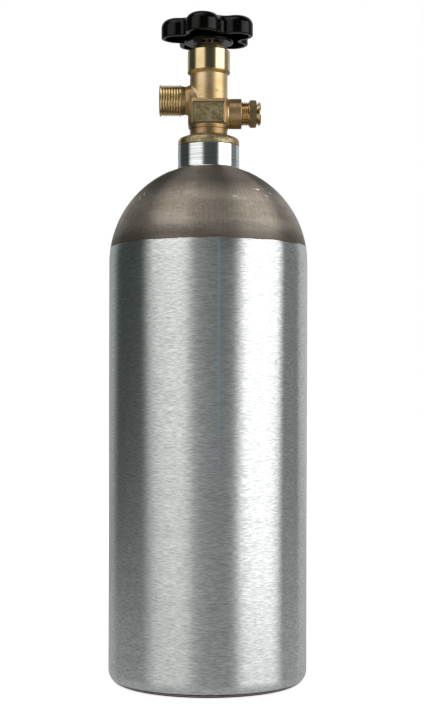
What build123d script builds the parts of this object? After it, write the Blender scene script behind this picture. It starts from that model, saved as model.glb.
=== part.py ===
from build123d import *
import math
import os

# A five pound aluminium gas cylinder with a brass handwheel valve screwed into its neck.
# Millimetres, +Z up. The origin is the centre of the foot, on the surface that it stands on.
# The outlet points along -X and the pressure relief device along +X.
# Screw threads are rings of V grooves at the real major diameter and pitch, and the holes
# that they screw into are plain bores at the major diameter.

INCH = 25.4
EDGE_BREAK = 0.4
THREAD_DEPTH = 0.54  # depth of a V groove, as a share of the pitch
THREAD_OPENING = 0.46  # half the width of a V groove, as a share of the pitch
THREAD_CLEAR = 0.05  # radial clearance of every screw thread in its bore

# gas cylinder
TANK_R = 5.25 * INCH / 2
WALL = 7.0
BASE_THICK = 11.0
BASE_ROUND = 9.0
BASE_INNER_ROUND = 20.0
FOOT_RECESS_R = 44.0
FOOT_RECESS_DEEP = 2.0
FOOT_RECESS_SLOPE = 5.0
DOME_Z = 281.8
INNER_DOME_Z = 279.8
SHOULDER_R = 29.5
NECK_R = 20.65
NECK_BASE_Z = 344.8
NECK_FILLET = 0.8
NECK_TOP = 360.5
NECK_THREAD_R = 1.125 * INCH / 2
NECK_BORE_FLARE = 1.5
GLAND_R = 16.9
GLAND_DEEP = 3.2
NECK_O_RING_R = 1.5

# valve body
INLET_PITCH = INCH / 12
INLET_END_Z = 337.0
INLET_CHAMFER = 1.2
INLET_UNDERCUT_R = 13.2
FLANGE_R = 20.6
FLANGE_SIDE_Z = 365.2
FLANGE_ROUND = 3.0
FLANGE_TOP_Z = 368.1
BARREL_R = 12.6
LIP_R = 14.4
LIP_LOW_Z = 408.5
LIP_SLOPE = 1.6
BODY_TOP_Z = 410.6

# wrench block
BLOCK_LEFT_X = -13.8
BLOCK_RIGHT_X = 12.0
BLOCK_DEEP = 26.7
BLOCK_LEFT_BEVEL = (2.7, 3.4)
BLOCK_RIGHT_BEVEL = (1.2, 2.4)
BLOCK_CORNER_ROUND = 1.6
BLOCK_EDGE_ROUND = 0.7
BLOCK_LOW_Z = 374.2
BLOCK_HIGH_Z = 388.7
BLOCK_CAP = 2.4
BLOCK_CAP_TAPER = 30.0
PAD_WIDE = 20.4
PAD_Y = 13.7
PAD_LOW_Z = 375.1
PAD_HIGH_Z = 388.0
PAD_CORNER_ROUND = 2.2
PAD_BREAK = 0.25
COLLAR_R = 13.4
COLLAR_LOW_R = 13.0
COLLAR_LOW_Z = 371.6

# gas passages
PASSAGE_R = 4.5
PASSAGE_STEP_Z = 377.0
SEAT_HOLE_R = 2.5
SEAT_NOSE_R = 4.2
SEAT_NOSE_FLAT_R = 3.3
SEAT_Z = 389.4
CHAMBER_FLOOR_Z = 387.6
CHAMBER_R = 8.7
CHAMBER_TOP_Z = 395.4
BONNET_SEAT_Z = 403.0

# outlet, 0.825-14 external thread
OUTLET_Z = 391.5
OUTLET_R = 0.825 * INCH / 2
OUTLET_PITCH = INCH / 14
OUTLET_FACE_X = -33.2
OUTLET_CHAMFER = 0.6
OUTLET_THREAD_END_X = -18.9
OUTLET_COLLAR_R = 9.7
OUTLET_COLLAR_LONG = 1.2
OUTLET_NECK_R = 9.3
OUTLET_NECK_X = -15.4
OUTLET_ROOT_R = 10.25
OUTLET_ROOT_X = -11.8
OUTLET_FLARE_R = 8.0
OUTLET_ROOT_ROUND = 1.6
OUTLET_HOLE_R = 3.5
OUTLET_MOUTH_R = 5.2
OUTLET_MOUTH_DEEP = 1.7

# pressure relief boss
RELIEF_Z = 382.7
RELIEF_BOSS_R = 10.05
RELIEF_FACE_X = 22.1
RELIEF_RINGS_X = 11.4
RELIEF_RING_R = 10.4
RELIEF_RING_SLOPE = 0.7
RELIEF_RING_LONG = 1.25
RELIEF_FLOOR_X = 13.0
RELIEF_PASSAGE_R = 1.5

# pressure relief plug, 5/8-18
RELIEF_THREAD_R = 5 / 8 * INCH / 2
RELIEF_PITCH = INCH / 18
RELIEF_GASKET_THICK = 0.7
RELIEF_DISC_THICK = 0.3
RELIEF_RING_THICK = 0.8
RELIEF_HEX_X = 27.3
RELIEF_HEX_FLATS = 5 / 8 * INCH
RELIEF_HEX_LONG = 4.9
RELIEF_HEX_TILT = 8.0
RELIEF_GROOVE_R = 6.6
RELIEF_GROOVE_LONG = 1.0
RELIEF_CAP_R = 7.7
RELIEF_CAP_LONG = 1.9
RELIEF_HOLE_R = 3.4
RELIEF_VENT_R = 0.6
RELIEF_VENTS = 4

# bonnet
BONNET_R = 14.2
BONNET_FOOT_CHAMFER = 0.4
BONNET_TOP_Z = 424.6
BONNET_SPIGOT_R = 10.5
BONNET_GASKET_THICK = 0.8
BONNET_PITCH = INCH / 18
BONNET_HEX_FLATS = 18.0
BONNET_HEX_TOP_Z = 428.9
BONNET_CAVITY_R = 8.3
BONNET_CEILING_Z = 409.6

# stem
STEM_R = 4.75
STEM_CLEAR = 0.05
STEM_COLLAR_R = 7.6
STEM_COLLAR_LOW_Z = 406.6
STEM_COLLAR_HIGH_Z = 408.7
STEM_GROOVE_R = 3.2
STEM_GROOVE_LOW_Z = 412.5
STEM_GROOVE_HIGH_Z = 415.5
BACKUP_RING_THICK = 1.2
STEM_SHOULDER_Z = 433.0
STEM_SQUARE = 6.7
STEM_SQUARE_TOP_Z = 438.3
STUD_R = 3.15
STUD_PITCH = INCH / 28
STUD_TOP_Z = 443.9
TANG_WIDE = 9.0
TANG_THICK = 2.6
TANG_LOW_Z = 397.6

# lower plug, 5/8-20, and its seat disc
PLUG_R = 5 / 8 * INCH / 2
PLUG_CLEAR = 0.07
PLUG_PITCH = INCH / 20
PLUG_TOP_Z = 402.0
PLUG_THREAD_Z = 395.2
PLUG_NOSE_R = 6.2
PLUG_LOW_Z = 390.3
PLUG_SLOT_Z = 394.6
SLOT_CLEAR = 0.12
SEAT_DISC_R = 4.7
SEAT_DISC_LOW_Z = 389.7
SEAT_DISC_TOP_Z = 392.0

# handwheel
WHEEL_LOBES = 5
WHEEL_LOBE_R = 11.4
WHEEL_LOBE_CENTRE_R = 20.7
WHEEL_VALLEY_R = 4.2
WHEEL_FRONT_ANGLE = 258.7
WHEEL_LOW_Z = 432.4
WHEEL_TOP_Z = 445.3
WHEEL_TOP_ROUND = 5.8
WHEEL_LOW_ROUND = 0.9
WHEEL_RIM = 2.6
WHEEL_SKIN = 4.0
HUB_R = 16.5
HUB_LOW_Z = 430.0
HUB_ROUND = 1.2
HUB_SHAFT_HOLE_R = 5.1
INSERT_TOP_Z = 438.5
INSERT_FLATS = 13.0
INSERT_SQUARE_CLEAR = 0.1
TOP_RECESS_R = 10.5
WASHER_R = 6.6
WASHER_THICK = 0.8
SPRING_WASHER_R = 5.6
SPRING_WASHER_HIGH = 1.2
SPRING_WASHER_GAP = 1.2
NUT_FLATS = 7 / 16 * INCH
NUT_HIGH = 3.2
NUT_CLEAR = 0.05

OUTLET_AXIS = Axis((0, 0, OUTLET_Z), (1, 0, 0))
RELIEF_AXIS = Axis((0, 0, RELIEF_Z), (1, 0, 0))


def v_grooves(start, end, radius, pitch, axis_z=None):
    """Sketch in the XZ plane the V grooves of a thread between start and end.

    The thread's own axis is +Z, or, where axis_z is given, the line along X at that height.
    """
    depth = THREAD_DEPTH * pitch
    half = THREAD_OPENING * pitch
    over = 0.2 * depth
    count = int((end - start) / pitch)
    first = (start + end - (count - 1) * pitch) / 2
    for i in range(count):
        middle = first + i * pitch
        corners = [
            (middle - 1.2 * half, radius + over),
            (middle, radius - depth),
            (middle + 1.2 * half, radius + over),
        ]
        if axis_z is None:
            corners = [(r, s) for s, r in corners]
        else:
            corners = [(s, axis_z + r) for s, r in corners]
        Polygon(*corners, align=None)


def bevelled(left, right, deep, left_bevel, right_bevel):
    """Sketch a rectangle between left and right with its four corners cut off."""
    back = [
        (right, deep / 2 - right_bevel[1]),
        (right - right_bevel[0], deep / 2),
        (left + left_bevel[0], deep / 2),
        (left, deep / 2 - left_bevel[1]),
    ]
    Polygon(*back, *[(x, -y) for x, y in reversed(back)], align=None)


def save(piece, name):
    piece.label = name
    export_step(piece, f"parts/{name}.step")


os.makedirs("parts", exist_ok=True)

# ---------------------------------------------------------------- gas cylinder

inner_r = TANK_R - WALL
shoulder_z = DOME_Z + math.sqrt(TANK_R**2 - SHOULDER_R**2)
shoulder_turn = math.degrees(math.acos(SHOULDER_R / TANK_R))
neck_bore_r = NECK_THREAD_R
neck_mouth_r = neck_bore_r + NECK_BORE_FLARE
neck_mouth_z = INNER_DOME_Z + math.sqrt(inner_r**2 - neck_mouth_r**2)
neck_mouth_turn = math.degrees(math.acos(neck_mouth_r / inner_r))
gland_floor_z = NECK_TOP - GLAND_DEEP

with BuildPart() as cylinder_shell:
    with BuildSketch(Plane.XZ):
        with BuildLine():
            Polyline(
                (0, BASE_THICK),
                (0, FOOT_RECESS_DEEP),
                (FOOT_RECESS_R, FOOT_RECESS_DEEP),
                (FOOT_RECESS_R + FOOT_RECESS_SLOPE, 0),
                (TANK_R - BASE_ROUND, 0),
            )
            CenterArc((TANK_R - BASE_ROUND, BASE_ROUND), BASE_ROUND, 270, 90)
            Line((TANK_R, BASE_ROUND), (TANK_R, DOME_Z))
            CenterArc((0, DOME_Z), TANK_R, 0, shoulder_turn)
            Line((SHOULDER_R, shoulder_z), (NECK_R + NECK_FILLET, NECK_BASE_Z))
            CenterArc((NECK_R + NECK_FILLET, NECK_BASE_Z + NECK_FILLET), NECK_FILLET, 180, 90)
            Polyline(
                (NECK_R, NECK_BASE_Z + NECK_FILLET),
                (NECK_R, NECK_TOP - EDGE_BREAK),
                (NECK_R - EDGE_BREAK, NECK_TOP),
                (GLAND_R, NECK_TOP),
                (GLAND_R, gland_floor_z),
                (neck_bore_r, gland_floor_z),
                (neck_bore_r, neck_mouth_z + NECK_BORE_FLARE),
                (neck_mouth_r, neck_mouth_z),
            )
            CenterArc((0, INNER_DOME_Z), inner_r, neck_mouth_turn, -neck_mouth_turn)
            Line((inner_r, INNER_DOME_Z), (inner_r, BASE_THICK + BASE_INNER_ROUND))
            CenterArc(
                (inner_r - BASE_INNER_ROUND, BASE_THICK + BASE_INNER_ROUND),
                BASE_INNER_ROUND,
                0,
                -90,
            )
            Line((inner_r - BASE_INNER_ROUND, BASE_THICK), (0, BASE_THICK))
        make_face()
    revolve(axis=Axis.Z)
save(cylinder_shell.part, "cylinder_shell")

with BuildPart() as neck_o_ring:
    with BuildSketch(Plane.XZ):
        with Locations(((INLET_UNDERCUT_R + GLAND_R) / 2, NECK_TOP - GLAND_DEEP / 2)):
            Circle(NECK_O_RING_R)
    revolve(axis=Axis.Z)
save(neck_o_ring.part, "neck_o_ring")

# ------------------------------------------------------------------ valve body

inlet_r = NECK_THREAD_R - THREAD_CLEAR
inlet_thread_top = gland_floor_z - EDGE_BREAK
plug_bore_r = PLUG_R + PLUG_CLEAR
bonnet_bore_r = BONNET_SPIGOT_R + THREAD_CLEAR
relief_bore_r = RELIEF_THREAD_R + THREAD_CLEAR
ring_ends = [RELIEF_RINGS_X + RELIEF_RING_LONG, RELIEF_RINGS_X + 2 * RELIEF_RING_LONG]

block_size = (BLOCK_LEFT_X, BLOCK_RIGHT_X, BLOCK_DEEP, BLOCK_LEFT_BEVEL, BLOCK_RIGHT_BEVEL)

# wrench block, bevelled at its upright corners, whose upper end slopes into the barrel
with BuildPart() as block:
    with BuildSketch(Plane.XY.offset(BLOCK_LOW_Z)) as block_outline:
        bevelled(*block_size)
        fillet(block_outline.vertices(), BLOCK_CORNER_ROUND)
    extrude(amount=BLOCK_HIGH_Z - BLOCK_LOW_Z)
    with BuildSketch(Plane.XY.offset(BLOCK_HIGH_Z)) as cap_outline:
        bevelled(*block_size)
        fillet(cap_outline.vertices(), BLOCK_CORNER_ROUND)
    extrude(amount=BLOCK_CAP, taper=BLOCK_CAP_TAPER)
    foot_edges = block.edges().filter_by_position(Axis.Z, BLOCK_LOW_Z, BLOCK_LOW_Z)
    top_edges = block.edges().filter_by_position(Axis.Z, BLOCK_HIGH_Z, BLOCK_HIGH_Z)
    fillet(foot_edges + top_edges, BLOCK_EDGE_ROUND)
    # a low pad with rounded corners on the front and on the back
    for side in (-1, 1):
        pad_plane = Plane(
            origin=(0, 0, (PAD_LOW_Z + PAD_HIGH_Z) / 2), x_dir=(1, 0, 0), z_dir=(0, side, 0)
        )
        with BuildSketch(pad_plane):
            RectangleRounded(PAD_WIDE, PAD_HIGH_Z - PAD_LOW_Z, PAD_CORNER_ROUND)
        extrude(amount=PAD_Y)
        rim = block.faces().sort_by(Axis.Y)[-1 if side > 0 else 0].outer_wire().edges()
        chamfer(rim, PAD_BREAK)

with BuildPart() as valve_body:
    # inlet stem, flange, barrel and lip, turned about the valve's own axis
    with BuildSketch(Plane.XZ):
        with BuildLine():
            Polyline(
                (0, INLET_END_Z),
                (inlet_r - INLET_CHAMFER, INLET_END_Z),
                (inlet_r, INLET_END_Z + INLET_CHAMFER),
                (inlet_r, inlet_thread_top),
                (INLET_UNDERCUT_R, gland_floor_z),
                (INLET_UNDERCUT_R, NECK_TOP),
                (FLANGE_R - EDGE_BREAK, NECK_TOP),
                (FLANGE_R, NECK_TOP + EDGE_BREAK),
            )
            FilletPolyline(
                (FLANGE_R, NECK_TOP + EDGE_BREAK),
                (FLANGE_R, FLANGE_SIDE_Z),
                (BARREL_R, FLANGE_TOP_Z),
                radius=FLANGE_ROUND,
            )
            Polyline(
                (BARREL_R, FLANGE_TOP_Z),
                (BARREL_R, COLLAR_LOW_Z),
                (COLLAR_LOW_R, COLLAR_LOW_Z + EDGE_BREAK),
                (COLLAR_R, BLOCK_LOW_Z + BLOCK_EDGE_ROUND),
                (BARREL_R, BLOCK_LOW_Z + BLOCK_EDGE_ROUND + EDGE_BREAK),
                (BARREL_R, LIP_LOW_Z),
                (LIP_R, LIP_LOW_Z + LIP_SLOPE),
                (LIP_R, BODY_TOP_Z - EDGE_BREAK),
                (LIP_R - EDGE_BREAK, BODY_TOP_Z),
                (0, BODY_TOP_Z),
                (0, INLET_END_Z),
            )
        make_face()
    revolve(axis=Axis.Z)
    with BuildSketch(Plane.XZ):
        v_grooves(INLET_END_Z + INLET_CHAMFER, inlet_thread_top, inlet_r, INLET_PITCH)
    revolve(axis=Axis.Z, mode=Mode.SUBTRACT)

    add(block.part)

    # outlet nozzle, flaring where it leaves the barrel
    with BuildSketch(Plane.XZ):
        with BuildLine():
            Polyline(
                (0, OUTLET_Z),
                (OUTLET_FACE_X, OUTLET_Z),
                (OUTLET_FACE_X, OUTLET_Z + OUTLET_R - OUTLET_CHAMFER),
                (OUTLET_FACE_X + OUTLET_CHAMFER, OUTLET_Z + OUTLET_R),
                (OUTLET_THREAD_END_X, OUTLET_Z + OUTLET_R),
                (OUTLET_THREAD_END_X + EDGE_BREAK, OUTLET_Z + OUTLET_COLLAR_R),
                (OUTLET_THREAD_END_X + OUTLET_COLLAR_LONG, OUTLET_Z + OUTLET_COLLAR_R),
                (OUTLET_NECK_X - EDGE_BREAK, OUTLET_Z + OUTLET_NECK_R),
                (OUTLET_NECK_X, OUTLET_Z + OUTLET_NECK_R),
            )
            RadiusArc(
                (OUTLET_NECK_X, OUTLET_Z + OUTLET_NECK_R),
                (OUTLET_ROOT_X, OUTLET_Z + OUTLET_ROOT_R),
                OUTLET_FLARE_R,
            )
            Polyline(
                (OUTLET_ROOT_X, OUTLET_Z + OUTLET_ROOT_R),
                (0, OUTLET_Z + OUTLET_ROOT_R),
                (0, OUTLET_Z),
            )
        make_face()
    revolve(axis=OUTLET_AXIS)
    with BuildSketch(Plane.XZ):
        v_grooves(
            OUTLET_FACE_X + OUTLET_CHAMFER, OUTLET_THREAD_END_X, OUTLET_R, OUTLET_PITCH, OUTLET_Z
        )
    revolve(axis=OUTLET_AXIS, mode=Mode.SUBTRACT)

    # the nozzle's root blends into the barrel
    root_edges = valve_body.edges().filter_by(
        lambda e: abs(math.hypot((e @ 0.5).X, (e @ 0.5).Y) - BARREL_R) < 0.01
        and abs(math.hypot((e @ 0.5).Y, (e @ 0.5).Z - OUTLET_Z) - OUTLET_ROOT_R) < 0.01
    )
    fillet(root_edges, OUTLET_ROOT_ROUND)

    # relief boss, with two narrow sloping rings at its root
    with BuildSketch(Plane.XZ):
        Polygon(
            (0, RELIEF_Z),
            (RELIEF_FACE_X, RELIEF_Z),
            (RELIEF_FACE_X, RELIEF_Z + RELIEF_BOSS_R - EDGE_BREAK),
            (RELIEF_FACE_X - EDGE_BREAK, RELIEF_Z + RELIEF_BOSS_R),
            (ring_ends[1], RELIEF_Z + RELIEF_BOSS_R),
            (ring_ends[1], RELIEF_Z + RELIEF_RING_R - RELIEF_RING_SLOPE),
            (ring_ends[0], RELIEF_Z + RELIEF_RING_R),
            (ring_ends[0], RELIEF_Z + RELIEF_RING_R - RELIEF_RING_SLOPE),
            (RELIEF_RINGS_X, RELIEF_Z + RELIEF_RING_R),
            (0, RELIEF_Z + RELIEF_RING_R),
            align=None,
        )
    revolve(axis=RELIEF_AXIS)

    # bore for the bonnet and the plug, the seat, and the gas passage up from the cylinder
    with BuildSketch(Plane.XZ):
        Polygon(
            (0, BODY_TOP_Z),
            (bonnet_bore_r, BODY_TOP_Z),
            (bonnet_bore_r, BONNET_SEAT_Z),
            (plug_bore_r, BONNET_SEAT_Z),
            (plug_bore_r, CHAMBER_TOP_Z),
            (CHAMBER_R, CHAMBER_TOP_Z),
            (CHAMBER_R, CHAMBER_FLOOR_Z),
            (SEAT_NOSE_R, CHAMBER_FLOOR_Z),
            (SEAT_NOSE_FLAT_R, SEAT_Z),
            (SEAT_HOLE_R, SEAT_Z),
            (SEAT_HOLE_R, PASSAGE_STEP_Z),
            (PASSAGE_R, PASSAGE_STEP_Z),
            (PASSAGE_R, INLET_END_Z),
            (0, INLET_END_Z),
            align=None,
        )
    revolve(axis=Axis.Z, mode=Mode.SUBTRACT)

    # outlet hole, opening at its mouth
    with BuildSketch(Plane.XZ):
        Polygon(
            (-SEAT_NOSE_R - 1, OUTLET_Z),
            (-SEAT_NOSE_R - 1, OUTLET_Z + OUTLET_HOLE_R),
            (OUTLET_FACE_X + OUTLET_MOUTH_DEEP, OUTLET_Z + OUTLET_HOLE_R),
            (OUTLET_FACE_X, OUTLET_Z + OUTLET_MOUTH_R),
            (OUTLET_FACE_X, OUTLET_Z),
            align=None,
        )
    revolve(axis=OUTLET_AXIS, mode=Mode.SUBTRACT)

    # bore for the relief plug, and its small passage to the gas
    with BuildSketch(Plane.XZ):
        Polygon(
            (0, RELIEF_Z),
            (0, RELIEF_Z + RELIEF_PASSAGE_R),
            (RELIEF_FLOOR_X, RELIEF_Z + RELIEF_PASSAGE_R),
            (RELIEF_FLOOR_X, RELIEF_Z + relief_bore_r),
            (RELIEF_FACE_X, RELIEF_Z + relief_bore_r),
            (RELIEF_FACE_X, RELIEF_Z),
            align=None,
        )
    revolve(axis=RELIEF_AXIS, mode=Mode.SUBTRACT)
save(valve_body.part, "valve_body")

# ------------------------------------------------------------------ relief device

relief_disc_x = RELIEF_FLOOR_X + RELIEF_GASKET_THICK
relief_ring_x = relief_disc_x + RELIEF_DISC_THICK
relief_plug_x = relief_ring_x + RELIEF_RING_THICK
relief_hex_end_x = RELIEF_HEX_X + RELIEF_HEX_LONG
relief_cap_x = relief_hex_end_x + RELIEF_GROOVE_LONG
relief_end_x = relief_cap_x + RELIEF_CAP_LONG
relief_inner_r = RELIEF_THREAD_R - 0.3

with BuildPart() as safety_gasket:
    with BuildSketch(Plane.YZ.offset(RELIEF_FLOOR_X)):
        with Locations((0, RELIEF_Z)):
            Circle(relief_inner_r)
            Circle(RELIEF_PASSAGE_R * 2, mode=Mode.SUBTRACT)
    extrude(amount=RELIEF_GASKET_THICK)
save(safety_gasket.part, "safety_gasket")

with BuildPart() as burst_disc:
    with BuildSketch(Plane.YZ.offset(relief_disc_x)):
        with Locations((0, RELIEF_Z)):
            Circle(relief_inner_r)
    extrude(amount=RELIEF_DISC_THICK)
save(burst_disc.part, "burst_disc")

with BuildPart() as disc_ring:
    with BuildSketch(Plane.YZ.offset(relief_ring_x)):
        with Locations((0, RELIEF_Z)):
            Circle(relief_inner_r)
            Circle(RELIEF_HOLE_R, mode=Mode.SUBTRACT)
    extrude(amount=RELIEF_RING_THICK)
save(disc_ring.part, "disc_ring")

with BuildPart() as safety_plug:
    with BuildSketch(Plane.XZ):
        Polygon(
            (relief_plug_x, RELIEF_Z),
            (relief_plug_x, RELIEF_Z + RELIEF_THREAD_R - EDGE_BREAK),
            (relief_plug_x + EDGE_BREAK, RELIEF_Z + RELIEF_THREAD_R),
            (RELIEF_HEX_X, RELIEF_Z + RELIEF_THREAD_R),
            (RELIEF_HEX_X, RELIEF_Z + RELIEF_GROOVE_R),
            (relief_cap_x, RELIEF_Z + RELIEF_GROOVE_R),
            (relief_cap_x, RELIEF_Z + RELIEF_CAP_R),
            (relief_end_x - EDGE_BREAK * 2, RELIEF_Z + RELIEF_CAP_R),
            (relief_end_x, RELIEF_Z + RELIEF_CAP_R - EDGE_BREAK * 2),
            (relief_end_x, RELIEF_Z),
            align=None,
        )
    revolve(axis=RELIEF_AXIS)
    with BuildSketch(Plane.XZ):
        v_grooves(
            relief_plug_x + EDGE_BREAK, RELIEF_HEX_X, RELIEF_THREAD_R, RELIEF_PITCH, RELIEF_Z
        )
    revolve(axis=RELIEF_AXIS, mode=Mode.SUBTRACT)
    # hexagon, with its corners turned off at both ends
    with BuildSketch(Plane.YZ.offset(RELIEF_HEX_X)):
        with Locations((0, RELIEF_Z)):
            RegularPolygon(
                RELIEF_HEX_FLATS / 2, 6, major_radius=False, rotation=90 + RELIEF_HEX_TILT
            )
    extrude(amount=RELIEF_HEX_LONG)
    corner_r = RELIEF_HEX_FLATS / 2 / math.cos(math.radians(30))
    with BuildSketch(Plane.XZ):
        for end_x, inwards in ((RELIEF_HEX_X, 1), (relief_hex_end_x, -1)):
            Polygon(
                (end_x, RELIEF_Z + RELIEF_HEX_FLATS / 2),
                (end_x, RELIEF_Z + corner_r + 1),
                (end_x + inwards * 0.9, RELIEF_Z + corner_r + 1),
                (end_x + inwards * 0.6, RELIEF_Z + corner_r),
                align=None,
            )
    revolve(axis=RELIEF_AXIS, mode=Mode.SUBTRACT)
    # blind hole behind the disc, and the vents that lead out of it
    with BuildSketch(Plane.YZ.offset(relief_plug_x)):
        with Locations((0, RELIEF_Z)):
            Circle(RELIEF_HOLE_R)
    extrude(amount=relief_cap_x - relief_plug_x + 0.3, mode=Mode.SUBTRACT)
    vent_x = relief_hex_end_x + RELIEF_GROOVE_LONG / 2
    for i in range(RELIEF_VENTS):
        turn = math.radians(360 / RELIEF_VENTS * i)
        outwards = (0, math.cos(turn), math.sin(turn))
        with BuildSketch(Plane(origin=(vent_x, 0, RELIEF_Z), z_dir=outwards)):
            Circle(RELIEF_VENT_R)
        extrude(amount=RELIEF_CAP_R + 1, mode=Mode.SUBTRACT)
save(safety_plug.part, "safety_plug")

# ------------------------------------------------------------------ bonnet

bonnet_foot_z = BONNET_SEAT_Z + BONNET_GASKET_THICK
stem_bore_r = STEM_R + STEM_CLEAR

with BuildPart() as bonnet_gasket:
    with BuildSketch(Plane.XY.offset(BONNET_SEAT_Z)):
        Circle(BONNET_SPIGOT_R - EDGE_BREAK)
        Circle(plug_bore_r + 0.3, mode=Mode.SUBTRACT)
    extrude(amount=BONNET_GASKET_THICK)
save(bonnet_gasket.part, "bonnet_gasket")

with BuildPart() as bonnet:
    with BuildSketch(Plane.XZ):
        Polygon(
            (0, bonnet_foot_z),
            (BONNET_SPIGOT_R - EDGE_BREAK, bonnet_foot_z),
            (BONNET_SPIGOT_R, bonnet_foot_z + EDGE_BREAK),
            (BONNET_SPIGOT_R, BODY_TOP_Z),
            (BONNET_R - BONNET_FOOT_CHAMFER, BODY_TOP_Z),
            (BONNET_R, BODY_TOP_Z + BONNET_FOOT_CHAMFER),
            (BONNET_R, BONNET_TOP_Z - EDGE_BREAK / 2),
            (BONNET_R - EDGE_BREAK / 2, BONNET_TOP_Z),
            (0, BONNET_TOP_Z),
            align=None,
        )
    revolve(axis=Axis.Z)
    with BuildSketch(Plane.XZ):
        v_grooves(bonnet_foot_z + EDGE_BREAK, BODY_TOP_Z, BONNET_SPIGOT_R, BONNET_PITCH)
    revolve(axis=Axis.Z, mode=Mode.SUBTRACT)
    with BuildSketch(Plane.XY.offset(BONNET_TOP_Z)):
        RegularPolygon(BONNET_HEX_FLATS / 2, 6, major_radius=False)
    extrude(amount=BONNET_HEX_TOP_Z - BONNET_TOP_Z)
    with BuildSketch(Plane.XZ):
        Polygon(
            (0, bonnet_foot_z),
            (0, BONNET_HEX_TOP_Z),
            (stem_bore_r, BONNET_HEX_TOP_Z),
            (stem_bore_r, BONNET_CEILING_Z),
            (BONNET_CAVITY_R, BONNET_CEILING_Z),
            (BONNET_CAVITY_R, bonnet_foot_z),
            align=None,
        )
    revolve(axis=Axis.Z, mode=Mode.SUBTRACT)
save(bonnet.part, "bonnet")

# ------------------------------------------------------------------ stem and its seals

with BuildPart() as stem:
    with BuildSketch(Plane.XZ):
        Polygon(
            (0, STEM_COLLAR_LOW_Z),
            (STEM_COLLAR_R - EDGE_BREAK, STEM_COLLAR_LOW_Z),
            (STEM_COLLAR_R, STEM_COLLAR_LOW_Z + EDGE_BREAK),
            (STEM_COLLAR_R, STEM_COLLAR_HIGH_Z),
            (STEM_R, STEM_COLLAR_HIGH_Z),
            (STEM_R, STEM_GROOVE_LOW_Z),
            (STEM_GROOVE_R, STEM_GROOVE_LOW_Z),
            (STEM_GROOVE_R, STEM_GROOVE_HIGH_Z),
            (STEM_R, STEM_GROOVE_HIGH_Z),
            (STEM_R, STEM_SHOULDER_Z),
            (STUD_R, STEM_SHOULDER_Z),
            (STUD_R, STUD_TOP_Z - EDGE_BREAK),
            (STUD_R - EDGE_BREAK, STUD_TOP_Z),
            (0, STUD_TOP_Z),
            align=None,
        )
    revolve(axis=Axis.Z)
    with BuildSketch(Plane.XZ):
        v_grooves(STEM_SQUARE_TOP_Z, STUD_TOP_Z - EDGE_BREAK, STUD_R, STUD_PITCH)
    revolve(axis=Axis.Z, mode=Mode.SUBTRACT)
    with BuildSketch(Plane.XY.offset(STEM_SHOULDER_Z)):
        Rectangle(STEM_SQUARE, STEM_SQUARE)
    extrude(amount=STEM_SQUARE_TOP_Z - STEM_SHOULDER_Z)
    with BuildSketch(Plane.XY.offset(TANG_LOW_Z)):
        Rectangle(TANG_WIDE, TANG_THICK)
    extrude(amount=STEM_COLLAR_LOW_Z - TANG_LOW_Z)
save(stem.part, "stem")

with BuildPart() as thrust_washer:
    with BuildSketch(Plane.XY.offset(STEM_COLLAR_HIGH_Z + STEM_CLEAR)):
        Circle(BONNET_CAVITY_R - STEM_CLEAR)
        Circle(stem_bore_r, mode=Mode.SUBTRACT)
    extrude(amount=BONNET_CEILING_Z - STEM_COLLAR_HIGH_Z - STEM_CLEAR)
save(thrust_washer.part, "thrust_washer")

o_ring_high = STEM_GROOVE_HIGH_Z - STEM_GROOVE_LOW_Z - BACKUP_RING_THICK
with BuildPart() as stem_o_ring:
    with BuildSketch(Plane.XZ):
        with Locations(((STEM_GROOVE_R + STEM_R) / 2, STEM_GROOVE_LOW_Z + o_ring_high / 2)):
            Circle((STEM_R - STEM_GROOVE_R) / 2)
    revolve(axis=Axis.Z)
save(stem_o_ring.part, "stem_o_ring")

with BuildPart() as stem_backup_ring:
    with BuildSketch(Plane.XY.offset(STEM_GROOVE_HIGH_Z - BACKUP_RING_THICK)):
        Circle(STEM_R)
        Circle(STEM_GROOVE_R, mode=Mode.SUBTRACT)
    extrude(amount=BACKUP_RING_THICK)
save(stem_backup_ring.part, "stem_backup_ring")

# ------------------------------------------------------------------ lower plug

with BuildPart() as lower_plug:
    with BuildSketch(Plane.XZ):
        Polygon(
            (0, PLUG_LOW_Z),
            (PLUG_NOSE_R - EDGE_BREAK, PLUG_LOW_Z),
            (PLUG_NOSE_R, PLUG_LOW_Z + EDGE_BREAK),
            (PLUG_NOSE_R, PLUG_THREAD_Z - EDGE_BREAK),
            (PLUG_R - EDGE_BREAK, PLUG_THREAD_Z),
            (PLUG_R, PLUG_THREAD_Z + EDGE_BREAK),
            (PLUG_R, PLUG_TOP_Z - EDGE_BREAK),
            (PLUG_R - EDGE_BREAK, PLUG_TOP_Z),
            (0, PLUG_TOP_Z),
            align=None,
        )
    revolve(axis=Axis.Z)
    with BuildSketch(Plane.XZ):
        v_grooves(PLUG_THREAD_Z + EDGE_BREAK, PLUG_TOP_Z - EDGE_BREAK, PLUG_R, PLUG_PITCH)
    revolve(axis=Axis.Z, mode=Mode.SUBTRACT)
    with BuildSketch(Plane.XY.offset(PLUG_SLOT_Z)):
        Rectangle(TANG_WIDE + 2 * SLOT_CLEAR, TANG_THICK + 2 * SLOT_CLEAR)
    extrude(amount=PLUG_TOP_Z - PLUG_SLOT_Z, mode=Mode.SUBTRACT)
    with BuildSketch(Plane.XY.offset(PLUG_LOW_Z)):
        Circle(SEAT_DISC_R)
    extrude(amount=SEAT_DISC_TOP_Z - PLUG_LOW_Z, mode=Mode.SUBTRACT)
save(lower_plug.part, "lower_plug")

with BuildPart() as seat_disc:
    with BuildSketch(Plane.XY.offset(SEAT_DISC_LOW_Z)):
        Circle(SEAT_DISC_R)
    extrude(amount=SEAT_DISC_TOP_Z - SEAT_DISC_LOW_Z)
save(seat_disc.part, "seat_disc")

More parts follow.
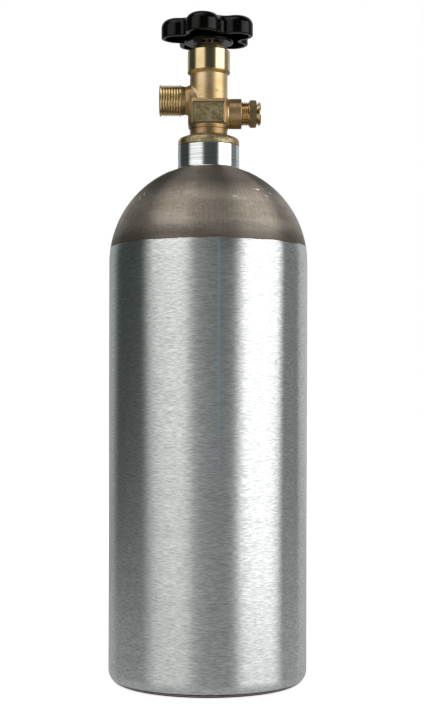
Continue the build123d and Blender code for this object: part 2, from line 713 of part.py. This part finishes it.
# ------------------------------------------------------------------ handwheel

valley_half_turn = math.radians(180 / WHEEL_LOBES)
lobe_gap = WHEEL_LOBE_CENTRE_R * math.sin(valley_half_turn)
valley_reach = math.sqrt((WHEEL_LOBE_R + WHEEL_VALLEY_R) ** 2 - lobe_gap**2)
valley_centre_r = WHEEL_LOBE_CENTRE_R * math.cos(valley_half_turn) + valley_reach
lobe_turns = [WHEEL_FRONT_ANGLE + 360 / WHEEL_LOBES * i for i in range(WHEEL_LOBES)]
valley_turns = [turn + 180 / WHEEL_LOBES for turn in lobe_turns]


def polar(radius, degrees):
    return (radius * math.cos(math.radians(degrees)), radius * math.sin(math.radians(degrees)))


def wheel_outline(inset=0.0):
    """Sketch the lobed outline, moved inwards by inset."""
    corners = []
    for lobe, valley in zip(lobe_turns, valley_turns):
        corners.append(polar(WHEEL_LOBE_CENTRE_R, lobe))
        corners.append(polar(valley_centre_r, valley))
    Polygon(*corners, align=None)
    with Locations(*[polar(WHEEL_LOBE_CENTRE_R, turn) for turn in lobe_turns]):
        Circle(WHEEL_LOBE_R - inset)
    with Locations(*[polar(valley_centre_r, turn) for turn in valley_turns]):
        Circle(WHEEL_VALLEY_R + inset, mode=Mode.SUBTRACT)


with BuildPart() as handwheel:
    with BuildSketch(Plane.XY.offset(WHEEL_LOW_Z)):
        wheel_outline()
    extrude(amount=WHEEL_TOP_Z - WHEEL_LOW_Z)
    fillet(handwheel.faces().sort_by(Axis.Z)[-1].edges(), WHEEL_TOP_ROUND)
    fillet(handwheel.faces().sort_by(Axis.Z)[0].edges(), WHEEL_LOW_ROUND)
    # hollow underside
    with BuildSketch(Plane.XY.offset(WHEEL_LOW_Z)):
        wheel_outline(WHEEL_RIM)
    extrude(amount=WHEEL_TOP_Z - WHEEL_SKIN - WHEEL_LOW_Z, mode=Mode.SUBTRACT)
    # hub
    with BuildSketch(Plane.XZ):
        with BuildLine():
            Polyline(
                (0, WHEEL_TOP_Z - WHEEL_SKIN),
                (0, HUB_LOW_Z),
                (HUB_R - HUB_ROUND, HUB_LOW_Z),
            )
            CenterArc((HUB_R - HUB_ROUND, HUB_LOW_Z + HUB_ROUND), HUB_ROUND, 270, 90)
            Polyline(
                (HUB_R, HUB_LOW_Z + HUB_ROUND),
                (HUB_R, WHEEL_TOP_Z - WHEEL_SKIN),
                (0, WHEEL_TOP_Z - WHEEL_SKIN),
            )
        make_face()
    revolve(axis=Axis.Z)
    # hole for the stem, pocket for the metal insert, and recess for the nut
    with BuildSketch(Plane.XY.offset(HUB_LOW_Z)):
        Circle(HUB_SHAFT_HOLE_R)
    extrude(amount=STEM_SHOULDER_Z - HUB_LOW_Z, mode=Mode.SUBTRACT)
    with BuildSketch(Plane.XY.offset(STEM_SHOULDER_Z)):
        RegularPolygon(INSERT_FLATS / 2, 6, major_radius=False)
    extrude(amount=INSERT_TOP_Z - STEM_SHOULDER_Z, mode=Mode.SUBTRACT)
    with BuildSketch(Plane.XY.offset(INSERT_TOP_Z)):
        Circle(TOP_RECESS_R)
    extrude(amount=WHEEL_TOP_Z - INSERT_TOP_Z, mode=Mode.SUBTRACT)
save(handwheel.part, "handwheel")

with BuildPart() as wheel_insert:
    with BuildSketch(Plane.XY.offset(STEM_SHOULDER_Z)):
        RegularPolygon(INSERT_FLATS / 2, 6, major_radius=False)
        Rectangle(
            STEM_SQUARE + INSERT_SQUARE_CLEAR,
            STEM_SQUARE + INSERT_SQUARE_CLEAR,
            mode=Mode.SUBTRACT,
        )
    extrude(amount=INSERT_TOP_Z - STEM_SHOULDER_Z)
save(wheel_insert.part, "wheel_insert")

spring_washer_z = INSERT_TOP_Z + WASHER_THICK
nut_z = spring_washer_z + SPRING_WASHER_HIGH

with BuildPart() as flat_washer:
    with BuildSketch(Plane.XY.offset(INSERT_TOP_Z)):
        Circle(WASHER_R)
        Circle(STUD_R + NUT_CLEAR, mode=Mode.SUBTRACT)
    extrude(amount=WASHER_THICK)
save(flat_washer.part, "flat_washer")

with BuildPart() as spring_washer:
    with BuildSketch(Plane.XY.offset(spring_washer_z)):
        Circle(SPRING_WASHER_R)
        Circle(STUD_R + NUT_CLEAR, mode=Mode.SUBTRACT)
        with Locations((SPRING_WASHER_R, 0)):
            Rectangle(2 * SPRING_WASHER_R, SPRING_WASHER_GAP, mode=Mode.SUBTRACT)
    extrude(amount=SPRING_WASHER_HIGH)
save(spring_washer.part, "spring_washer")

with BuildPart() as wheel_nut:
    with BuildSketch(Plane.XY.offset(nut_z)):
        RegularPolygon(NUT_FLATS / 2, 6, major_radius=False)
        Circle(STUD_R + NUT_CLEAR, mode=Mode.SUBTRACT)
    extrude(amount=NUT_HIGH)
save(wheel_nut.part, "wheel_nut")

for piece in (cylinder_shell, valve_body, bonnet, safety_plug, stem, lower_plug, handwheel):
    print(f"{piece.part.label}: {piece.part.volume / 1000:.1f} cm3, valid {piece.part.is_valid}")
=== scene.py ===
import math

import bpy
from mathutils import Euler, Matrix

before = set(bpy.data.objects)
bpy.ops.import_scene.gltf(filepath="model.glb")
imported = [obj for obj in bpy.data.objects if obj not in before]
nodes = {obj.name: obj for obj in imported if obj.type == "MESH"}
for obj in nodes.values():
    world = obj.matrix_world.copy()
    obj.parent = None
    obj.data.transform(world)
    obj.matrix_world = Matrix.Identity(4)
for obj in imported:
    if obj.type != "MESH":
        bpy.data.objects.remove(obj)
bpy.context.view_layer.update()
scene = bpy.context.scene
scene.view_settings.view_transform = "Standard"

MM = 0.001

# ------------------------------------------------------------------ node helpers


class Graph:
    """A material's node tree, with short calls for the nodes that the finishes share.

    Wherever a method takes a value, that is a number, a colour or another node's output.
    """

    def __init__(self, name):
        self.material = bpy.data.materials.new(name)
        self.material.use_nodes = True
        self.tree = self.material.node_tree
        self.tree.nodes.clear()
        self.output = self.add("ShaderNodeOutputMaterial")
        self.shader = self.add("ShaderNodeBsdfPrincipled")
        self.link(self.shader.outputs["BSDF"], self.output.inputs["Surface"])
        self.place = self.add("ShaderNodeTexCoord").outputs["Object"]

    def add(self, kind, **settings):
        node = self.tree.nodes.new(kind)
        for key, value in settings.items():
            setattr(node, key, value)
        return node

    def link(self, source, target):
        self.tree.links.new(source, target)

    def feed(self, value, socket):
        """Link value to the socket if it is another node's output, or else set it there."""
        if isinstance(value, bpy.types.NodeSocket):
            self.link(value, socket)
        elif isinstance(value, tuple):
            socket.default_value = (*value, 1.0)
        else:
            socket.default_value = value

    def set(self, **values):
        """Feed the main shader. A socket's name is written with _ for each space."""
        for key, value in values.items():
            self.feed(value, self.shader.inputs[key.replace("_", " ")])

    def math(self, operation, a, b=0.0):
        node = self.add("ShaderNodeMath", operation=operation)
        self.feed(a, node.inputs[0])
        self.feed(b, node.inputs[1])
        return node.outputs[0]

    def plus(self, a, b):
        return self.math("ADD", a, b)

    def minus(self, a, b):
        return self.math("SUBTRACT", a, b)

    def times(self, a, b):
        return self.math("MULTIPLY", a, b)

    def greatest(self, a, b):
        return self.math("MAXIMUM", a, b)

    def distance(self, a, b):
        """The length of the vector (a, b)."""
        return self.math("SQRT", self.plus(self.times(a, a), self.times(b, b)))

    def axes(self):
        node = self.add("ShaderNodeSeparateXYZ")
        self.link(self.place, node.inputs[0])
        return node.outputs

    def noise(self, detail, rough, cells, place=None):
        """Noise with so many cells per metre, the same each way or an (x, y, z) of them."""
        mapping = self.add("ShaderNodeMapping")
        mapping.inputs["Scale"].default_value = cells if isinstance(cells, tuple) else (cells, cells, cells)
        self.link(place or self.place, mapping.inputs["Vector"])
        node = self.add("ShaderNodeTexNoise")
        node.inputs["Scale"].default_value = 1.0
        node.inputs["Detail"].default_value = detail
        node.inputs["Roughness"].default_value = rough
        self.link(mapping.outputs[0], node.inputs["Vector"])
        return node.outputs["Fac"]

    def shake(self, noise, size):
        """Noise turned into an offset, at most size/2 either way."""
        return self.times(self.minus(noise, 0.5), size)

    def ramp(self, value, low, high, out_low=0.0, out_high=1.0):
        """Map value from low..high to out_low..out_high, smoothly and clamped."""
        node = self.add("ShaderNodeMapRange", clamp=True, interpolation_type="SMOOTHSTEP")
        self.feed(value, node.inputs["Value"])
        node.inputs["From Min"].default_value = low
        node.inputs["From Max"].default_value = high
        node.inputs["To Min"].default_value = out_low
        node.inputs["To Max"].default_value = out_high
        return node.outputs["Result"]

    def band(self, value, low, high, soft_low, soft_high):
        """1 between low and high, fading to 0 over the soft widths inside them."""
        rise = self.ramp(value, low, low + soft_low)
        fall = self.ramp(value, high - soft_high, high, 1.0, 0.0)
        return self.times(rise, fall)

    def mix(self, factor, a, b, blend="MIX"):
        """Mix two colours."""
        node = self.add("ShaderNodeMix", data_type="RGBA", blend_type=blend)
        self.feed(factor, node.inputs[0])
        self.feed(a, node.inputs[6])
        self.feed(b, node.inputs[7])
        return node.outputs[2]

    def blend(self, factor, a, b):
        """Mix two numbers."""
        node = self.add("ShaderNodeMix", data_type="FLOAT")
        self.feed(factor, node.inputs[0])
        self.feed(a, node.inputs[2])
        self.feed(b, node.inputs[3])
        return node.outputs[0]

    def bump(self, height, distance, strength):
        node = self.add("ShaderNodeBump")
        node.inputs["Distance"].default_value = distance
        node.inputs["Strength"].default_value = strength
        self.link(height, node.inputs["Height"])
        return node.outputs[0]


def dress(graph, *names):
    """Give these CAD nodes this material."""
    for name in names:
        mesh = nodes[name].data
        mesh.materials.clear()
        mesh.materials.append(graph.material)


# ------------------------------------------------------------------ aluminium cylinder

# where the brushed wall ends, and where the bare neck starts
BODY_TOP = 291.8 * MM
NECK_FOOT = 344.8 * MM

# marks on the front: across, up, wide and high in mm, and strength
SCUFFS = [
    (-2.5, 253.2, 0.8, 1.6, 1.0),
    (43.6, 213.2, 2.2, 4.5, 0.4),
    (60.4, 220.3, 1.6, 4.0, 0.35),
]
# painted glints where stamped marks on the shoulder catch the light
STAMP_GLINTS = [
    (31.6, 326.2, 3.8, 1.5, 1.0),
    (37.6, 322.2, 2.4, 1.1, 1.0),
    (40.2, 324.6, 2.6, 1.2, 1.0),
    (17.0, 320.0, 4.2, 0.9, 1.0),
    (-45.0, 321.5, 1.3, 5.0, 1.0),
    (-42.0, 324.5, 1.2, 4.2, 1.0),
]

# the blue line: its middle, and how far from it the line starts to fade and is gone
BLUE_LINE_X = 6.6 * MM
BLUE_LINE_FULL = 0.2 * MM
BLUE_LINE_GONE = 1.4 * MM


def marks(g, x, y, z, table):
    """Small soft-edged ovals on the front of the cylinder."""
    front = g.math("LESS_THAN", y, 0.0)
    found = 0.0
    for across, up, wide, high, strength in table:
        aside = g.math("DIVIDE", g.minus(x, across * MM), wide * MM / 2)
        along = g.math("DIVIDE", g.minus(z, up * MM), high * MM / 2)
        away = g.plus(g.times(aside, aside), g.times(along, along))
        found = g.greatest(found, g.times(g.ramp(away, 0.4, 1.0, strength, 0.0), front))
    return found


def stamp_glints(g, x, y, z):
    """Pale ragged nicks on the shoulder: painted glints where stamped marks catch the light."""
    ragged = g.shake(g.noise(3.0, 0.6, 1000), 2.4 * MM)
    return marks(g, g.plus(x, ragged), y, g.minus(z, ragged), STAMP_GLINTS)


def blue_line(g, x, y, z):
    """A thin blue line down the front of the wall, fainter towards the foot."""
    off = g.math("ABSOLUTE", g.minus(x, BLUE_LINE_X))
    line = g.times(g.ramp(off, BLUE_LINE_FULL, BLUE_LINE_GONE, 1.0, 0.0), g.math("LESS_THAN", y, 0.0))
    faded = g.times(g.ramp(z, 30 * MM, 260 * MM, 0.1, 0.95), g.math("LESS_THAN", z, BODY_TOP))
    patchy = g.ramp(g.noise(3.0, 0.6, (60, 60, 900)), 0.3, 0.6, 0.35, 1.0)
    return g.times(g.times(line, faded), patchy)


def brushed_wall(g, streaks):
    """The bare wall's colour: short level brush marks, with paler and darker bands."""
    fine = g.noise(3.0, 0.6, (700, 700, 3800))
    bands = g.noise(2.0, 0.5, (25, 25, 170))
    color = g.mix(g.ramp(streaks, 0.34, 0.66), (0.60, 0.625, 0.62), (0.97, 0.985, 0.98))
    color = g.mix(g.ramp(fine, 0.5, 0.75, 0.0, 0.35), color, (0.42, 0.45, 0.45))
    return g.mix(g.ramp(bands, 0.35, 0.65, 0.0, 0.12), color, (0.5, 0.52, 0.52))


def browned_shoulder(g, x, y, z, mottle):
    """The shoulder's coat: blotches, grain, and fine streaks that run up towards the neck, with painted
    light and shade by height.
    """
    around = g.add("ShaderNodeCombineXYZ")
    g.link(g.math("ARCTAN2", y, x), around.inputs[0])
    g.link(z, around.inputs[1])
    drift = g.noise(3.0, 0.5, (9, 9, 4.5))
    up_streaks = g.noise(4.0, 0.6, (55, 60, 1), place=around.outputs[0])
    blotches = g.noise(3.0, 0.55, (1.6, 90, 1), place=around.outputs[0])
    color = g.mix(g.ramp(drift, 0.35, 0.65), (0.31, 0.26, 0.215), (0.39, 0.335, 0.28))
    color = g.mix(g.ramp(mottle, 0.3, 0.75, 0.0, 0.45), color, (0.62, 0.58, 0.52))
    color = g.mix(g.ramp(up_streaks, 0.4, 0.7, 0.0, 0.45), color, (0.22, 0.185, 0.15))
    color = g.mix(g.ramp(blotches, 0.45, 0.62, 0.0, 0.4), color, (0.56, 0.51, 0.43))
    # painted light and shade by height: palest round the middle of the shoulder and darkest against the
    # neck
    light_and_shade_by_height = g.times(g.ramp(z, 293 * MM, 306 * MM, -0.65, 1.0), g.ramp(z, 319 * MM, 334 * MM, 1.0, -0.9))
    return g.mix(1.0, color, g.plus(1.0, g.times(light_and_shade_by_height, 0.5)), "MULTIPLY")


def foot_shade(g, height):
    """Painted shade round the foot: how much darker the metal is at the very bottom, with a paler line just
    above the bottom.
    """
    line = g.band(height, 1.5 * MM, 2.3 * MM, 0.3 * MM, 0.3 * MM)
    foot_darkening = g.ramp(height, 2.7 * MM, 3.5 * MM, 1.0, 0.0)
    return g.times(foot_darkening, g.minus(1.0, g.times(line, 0.5)))


def aluminium():
    g = Graph("aluminium_cylinder")
    x, y, z = g.axes()
    streaks = g.noise(3.0, 0.6, (250, 250, 2300))
    mottle = g.noise(3.0, 0.6, 700)
    turned = g.noise(3.0, 0.6, (9, 9, 2000))

    # the wall and the shoulder meet in a slightly ragged, wandering line
    ragged = g.shake(g.noise(4.0, 0.65, (90, 90, 36)), 2.0 * MM)
    wander = g.shake(g.noise(2.0, 0.5, 14), 4.0 * MM)
    height = g.plus(g.plus(z, ragged), wander)
    shoulder = g.ramp(height, BODY_TOP - 0.15 * MM, BODY_TOP + 0.15 * MM)
    neck = g.ramp(z, NECK_FOOT - 0.2 * MM, NECK_FOOT + 0.1 * MM)
    polished = g.mix(g.ramp(turned, 0.38, 0.62), (0.58, 0.62, 0.63), (0.88, 0.90, 0.90))
    color = g.mix(shoulder, brushed_wall(g, streaks), browned_shoulder(g, x, y, z, mottle))
    color = g.mix(neck, color, polished)

    color = g.mix(marks(g, x, y, z, SCUFFS), color, (0.30, 0.33, 0.34))
    blue_mask = blue_line(g, x, y, z)
    color = g.mix(blue_mask, color, (0.50, 0.74, 0.96))
    rim = g.times(shoulder, g.ramp(height, BODY_TOP + 0.2 * MM, BODY_TOP + 1.2 * MM, 1.0, 0.0))
    color = g.mix(g.times(rim, 0.6), color, (0.26, 0.13, 0.09))
    # painted glints where the stamped marks catch the light
    color = g.mix(stamp_glints(g, x, y, z), color, (0.9, 0.89, 0.86))
    # painted shade round the foot, in a dark reddish brown
    color = g.mix(foot_shade(g, g.plus(z, g.times(ragged, 0.2))), color, (0.07, 0.032, 0.026))

    wall_rough = g.ramp(streaks, 0.3, 0.7, 0.34, 0.28)
    coat_rough = g.ramp(mottle, 0.2, 0.8, 0.52, 0.62)
    neck_rough = g.ramp(turned, 0.35, 0.65, 0.17, 0.12)
    # the blue line and the coat make some of the metal less metallic
    covered = g.greatest(g.times(blue_mask, 0.15), g.times(g.minus(shoulder, neck), 0.24))
    g.set(
        Base_Color=color,
        Metallic=g.minus(1.0, covered),
        Roughness=g.blend(neck, g.blend(shoulder, wall_rough, coat_rough), neck_rough),
        Anisotropic=1.0,
        Anisotropic_Rotation=0.25,
        Normal=g.bump(g.blend(shoulder, streaks, mottle), 0.02 * MM, 0.5),
        Tangent=g.add("ShaderNodeTangent", direction_type="RADIAL", axis="Z").outputs[0],
    )
    return g


dress(aluminium(), "cylinder_shell")


# ------------------------------------------------------------------ brass

# places on the valve body: the outlet's axis, thread and nozzle, the relief boss,
# the flange's edge, the block and its wrench pads
OUTLET_Z = 391.5 * MM
THREAD_END_X = -18.5 * MM
THREAD_VALLEY_R = 9.2 * MM
THREAD_CREST_R = 10.1 * MM
NOZZLE_X = -11.4 * MM
BOSS_X = 12.4 * MM
FLANGE_EDGE_Z = 364.5 * MM
BLOCK_LOW_Z = 373.8 * MM
BLOCK_HIGH_Z = 389.2 * MM
PAD_Y = 13.65 * MM


def forging(g, color, rough):
    """The forged body: tarnished patches, a darker nozzle and relief boss, painted shade under the block,
    round the wrench pads and in the thread's valleys, dulled wrench pads, and the outlet's thread cut
    bright.
    """
    x, y, z = g.axes()
    patches = g.noise(3.0, 0.6, 230)
    color = g.mix(g.ramp(patches, 0.52, 0.72, 0.0, 0.55), color, (0.36, 0.22, 0.09))
    # painted shade on the barrel under the block; the nozzle and the relief boss are darker than the rest
    # too
    nozzle = g.ramp(x, NOZZLE_X - 1.2 * MM, NOZZLE_X, 0.6, 0.0)
    boss = g.ramp(x, BOSS_X, BOSS_X + 1.0 * MM, 0.0, 0.32)
    under = g.band(z, FLANGE_EDGE_Z, BLOCK_LOW_Z + 0.6 * MM, 1.5 * MM, 1.0 * MM)
    shade_and_darkening = g.greatest(g.times(under, 0.6), g.greatest(nozzle, boss))
    color = g.mix(shade_and_darkening, color, (0.22, 0.13, 0.055))

    # each pad is dulled by wear, and has a narrow band of painted shade round its edge
    front = g.math("ABSOLUTE", y)
    pad_edge_shade = g.band(front, PAD_Y - 1.15 * MM, PAD_Y, 0.6 * MM, 0.2 * MM)
    block = g.band(z, BLOCK_LOW_Z, BLOCK_HIGH_Z, 0.6 * MM, 0.6 * MM)
    color = g.mix(g.times(g.times(pad_edge_shade, block), 0.85), color, (0.20, 0.135, 0.065))
    pad = g.ramp(front, PAD_Y - 0.15 * MM, PAD_Y)
    patchy = g.noise(3.0, 0.65, 420)
    pad_color = g.mix(g.ramp(patchy, 0.35, 0.65), (0.30, 0.24, 0.125), (0.58, 0.48, 0.29))
    color = g.mix(pad, color, pad_color)
    rough = g.blend(pad, rough, 0.5)

    # the thread: bright cut crests, with painted shade in the valleys between them
    beyond = g.ramp(x, THREAD_END_X - 0.2 * MM, THREAD_END_X + 0.2 * MM, 1.0, 0.0)
    radius = g.distance(y, g.minus(z, OUTLET_Z))
    crest = g.ramp(radius, THREAD_VALLEY_R, THREAD_CREST_R)
    color = g.mix(beyond, color, g.mix(crest, (0.30, 0.17, 0.07), (1.0, 0.84, 0.53)))
    return color, g.blend(beyond, rough, 0.26)


def brass(name, dark, light, rough_low, rough_high, grain, grain_deep, finish=None):
    """Brass with a fine grain, to which a finish may add its own colour and roughness."""
    g = Graph(name)
    drift = g.noise(3.0, 0.55, 60)
    speckle = g.noise(3.0, 0.6, grain)
    color = g.mix(g.ramp(drift, 0.3, 0.7), dark, light)
    color = g.mix(g.ramp(speckle, 0.6, 0.8, 0.0, 0.35), color, tuple(c * 0.6 for c in dark))
    rough = g.ramp(speckle, 0.3, 0.7, rough_low, rough_high)
    if finish:
        color, rough = finish(g, color, rough)
    g.set(Base_Color=color, Metallic=1.0, Roughness=rough, Normal=g.bump(speckle, grain_deep, 0.6))
    return g


forged = brass(
    "forged_brass", (0.66, 0.45, 0.205), (0.86, 0.66, 0.385), 0.36, 0.46, 900, 0.02 * MM, forging)
turned = brass("turned_brass", (0.70, 0.535, 0.29), (0.84, 0.68, 0.41), 0.13, 0.19, 2500, 0.004 * MM)
plug = brass("plug_brass", (0.76, 0.56, 0.28), (0.90, 0.71, 0.42), 0.17, 0.24, 3000, 0.004 * MM)
dress(forged, "valve_body")
dress(turned, "bonnet", "stem", "lower_plug", "disc_ring")
dress(plug, "safety_plug")


# ------------------------------------------------------------------ small pieces


def plain(name, color, metallic, rough_low, rough_high, grain=400, **more):
    """One colour with a fine grain."""
    g = Graph(name)
    speckle = g.noise(3.0, 0.55, grain)
    g.set(
        Base_Color=g.mix(g.ramp(speckle, 0.3, 0.7), tuple(0.88 * c for c in color), color),
        Metallic=metallic,
        Roughness=g.ramp(speckle, 0.3, 0.7, rough_low, rough_high),
        Normal=g.bump(speckle, 0.01 * MM, 0.4),
        **more,
    )
    return g


moulding = plain(
    "black_moulding", (0.0015, 0.0018, 0.0018), 0.0, 0.10, 0.16, 500, Specular_IOR_Level=0.21)
rubber = plain("black_rubber", (0.02, 0.02, 0.02), 0.0, 0.55, 0.7)
nylon = plain("white_nylon", (0.82, 0.8, 0.74), 0.0, 0.4, 0.55)
steel = plain("plated_steel", (0.66, 0.67, 0.68), 1.0, 0.2, 0.32, 900)
copper = plain("soft_copper", (0.78, 0.42, 0.27), 1.0, 0.25, 0.35, 900)
dress(moulding, "handwheel")
dress(rubber, "neck_o_ring", "stem_o_ring")
dress(nylon, "bonnet_gasket", "thrust_washer", "stem_backup_ring", "seat_disc")
dress(steel, "wheel_insert", "flat_washer", "spring_washer", "wheel_nut")
dress(copper, "burst_disc", "safety_gasket")


# ------------------------------------------------------------------ studio


def mesh_object(name, verts, faces, material):
    mesh = bpy.data.meshes.new(name)
    mesh.from_pydata(verts, [], faces)
    mesh.materials.append(material)
    piece = bpy.data.objects.new(name, mesh)
    scene.collection.objects.link(piece)
    return piece


def glow(graph, color, strength=1.0):
    """Turn the graph's shader into plain light."""
    graph.tree.nodes.remove(graph.shader)
    light = graph.add("ShaderNodeEmission")
    graph.feed(color, light.inputs["Color"])
    graph.feed(strength, light.inputs["Strength"])
    graph.link(light.outputs[0], graph.output.inputs["Surface"])


def hide_from_camera(piece):
    piece.visible_camera = False
    piece.visible_shadow = False


TENT_R = 1.7
TENT_LOW = -1.4
TENT_HIGH = 3.4
TENT_SIDES = 90
TENT_DARK = (0.048, 0.058, 0.055)
LEAN_Z = 0.4

# The light tent's panels. Azimuths and soft edges are in degrees, from the camera's side towards +X,
# and heights in metres. A leaning panel's edges turn by so many degrees for each metre below LEAN_Z.
# name: start, end, soft_start, soft_end, low, high, soft_low, soft_high, lean, colour, strength
PANELS = {
    "left": (-84, -14, 18, 18, -0.8, 2.4, 1.3, 0.25, 40, (1.0, 0.995, 0.97), 1.14),
    "right": (31, 99, 17, 11, -1.1, 1.6, 1.5, 0.5, -30, (1.0, 0.995, 0.985), 2.15),
    "side": (95, 122, 4, 4, -1.4, 2.0, 0.1, 0.3, 0, (0.95, 1.0, 0.99), 0.22),
    "back": (116, 186, 18, 12, -0.3, 3.4, 0.3, 0.4, 0, (0.98, 1.0, 0.99), 0.55),
    "back_left": (174, 238, 12, 22, -0.3, 3.4, 0.3, 0.4, 0, (0.97, 1.0, 0.99), 0.38),
    "front": (-14, 36, 8, 8, -1.4, 0.3, 0.1, 0.7, 0, (0.98, 1.0, 1.0), 0.50),
}


def panel(g, start, end, soft_start, soft_end, low, high, soft_low, soft_high, lean):
    """How much of a panel's light is at each place on the tent."""
    x, y, z = g.axes()
    middle = math.radians((start + end) / 2)
    # azimuth measured from the panel's own middle, so that it never wraps round
    ahead = g.minus(g.times(x, math.sin(middle)), g.times(y, math.cos(middle)))
    aside = g.plus(g.times(x, math.cos(middle)), g.times(y, math.sin(middle)))
    turn = g.times(g.math("ARCTAN2", aside, ahead), 180 / math.pi)
    drop = g.minus(g.math("MINIMUM", z, LEAN_Z), LEAN_Z)
    turn = g.plus(turn, g.times(drop, lean))
    half = (end - start) / 2
    across = g.band(turn, -half, half, soft_start, soft_end)
    return g.times(across, g.band(z, low, high, soft_low, soft_high))


def ring(radius, low, high, sides):
    """The corners and faces of an open upright tube."""
    verts, faces = [], []
    for i in range(sides):
        turn = 2 * math.pi * i / sides
        verts += [(radius * math.cos(turn), radius * math.sin(turn), z) for z in (low, high)]
        a, b = 2 * i, 2 * ((i + 1) % sides)
        faces.append((a, b, b + 1, a + 1))
    return verts, faces


tent = Graph("light_tent")
tent_light = TENT_DARK
for *shape, tint, strength in PANELS.values():
    tent_light = tent.mix(panel(tent, *shape), tent_light, tuple(strength * c for c in tint))
glow(tent, tent_light)
hide_from_camera(mesh_object("light_tent", *ring(TENT_R, TENT_LOW, TENT_HIGH, TENT_SIDES), tent.material))

# the soft box over the cylinder, which fades towards its edges
CEILING_Z = 2.3
CEILING_X = (-1.8, 0.9)
CEILING_Y = (-3.6, 0.5)
CEILING_X_SOFT = (0.6, 1.7)
CEILING_Y_SOFT = (0.8, 0.9)

ceiling = Graph("softbox_above")
ceiling_x, ceiling_y, _ = ceiling.axes()
ceiling_light = ceiling.times(
    ceiling.band(ceiling_x, *CEILING_X, *CEILING_X_SOFT),
    ceiling.band(ceiling_y, *CEILING_Y, *CEILING_Y_SOFT),
)
glow(ceiling, (1.0, 0.97, 0.93), ceiling.times(ceiling_light, 1.6))
ceiling_corners = [(x, y, CEILING_Z) for x in CEILING_X for y in CEILING_Y]
hide_from_camera(mesh_object("softbox_above", ceiling_corners, [(0, 1, 3, 2)], ceiling.material))

# the floor that the camera sees, and the smaller sheet under it that lights the cylinder from below
FLOOR_R = 40.0
SHEET_R = 0.5
SHEET_Z = -0.5 * MM
RIM_SIDES = 96


def disc(name, radius, z, material):
    turns = [2 * math.pi * i / RIM_SIDES for i in range(RIM_SIDES)]
    verts = [(radius * math.cos(turn), radius * math.sin(turn), z) for turn in turns]
    return mesh_object(name, verts, [tuple(range(RIM_SIDES))], material)


ground = Graph("pale_floor")
# the floor glows more away from the cylinder, so that it meets the white background without a line
ground_x, ground_y, _ = ground.axes()
ground.set(
    Base_Color=(0.9, 0.9, 0.9),
    Roughness=0.9,
    Emission_Color=(1.0, 1.0, 1.0),
    Emission_Strength=ground.ramp(ground.distance(ground_x, ground_y), 0.1, 0.8, 0.80, 1.0),
)
floor = disc("floor", FLOOR_R, 0, ground.material)
floor.visible_diffuse = False
floor.visible_glossy = False

bounce = Graph("bounce_sheet")
glow(bounce, (1.0, 1.0, 1.0), 0.42)
hide_from_camera(disc("sheet", SHEET_R, SHEET_Z, bounce.material))

# the camera sees a white background, and everything else is lit by a dim one
world = bpy.data.worlds.new("world")
scene.world = world
world.use_nodes = True
sky = world.node_tree
background = sky.nodes["Background"]
background.inputs["Color"].default_value = (1, 1, 1, 1)
background.inputs["Strength"].default_value = 1.0
dim = sky.nodes.new("ShaderNodeBackground")
dim.inputs["Color"].default_value = (1, 0.99, 0.97, 1)
dim.inputs["Strength"].default_value = 0.09
chooser = sky.nodes.new("ShaderNodeMixShader")
path = sky.nodes.new("ShaderNodeLightPath")
sky.links.new(path.outputs["Is Camera Ray"], chooser.inputs[0])
sky.links.new(dim.outputs[0], chooser.inputs[1])
sky.links.new(background.outputs[0], chooser.inputs[2])
sky.links.new(chooser.outputs[0], sky.nodes["World Output"].inputs["Surface"])

# ------------------------------------------------------------------ camera

CAMERA_AWAY = 1.0
CAMERA_UP = 0.184
CAMERA_ROLL = math.radians(0.14)
SENSOR_WIDE = 36.0
FOCAL_LENGTH = 73.286
SHIFT_ACROSS = 0.0055
SHIFT_UP = 0.0611

camera_data = bpy.data.cameras.new("camera")
camera_data.sensor_width = SENSOR_WIDE
camera_data.lens = FOCAL_LENGTH
camera_data.shift_x = SHIFT_ACROSS
camera_data.shift_y = SHIFT_UP
camera_data.clip_end = 100.0
camera = bpy.data.objects.new("camera", camera_data)
camera.location = (0, -CAMERA_AWAY, CAMERA_UP)
camera.rotation_euler = Euler((math.radians(90), 0, 0))
camera.rotation_euler.rotate_axis("Z", CAMERA_ROLL)
scene.collection.objects.link(camera)
scene.camera = camera
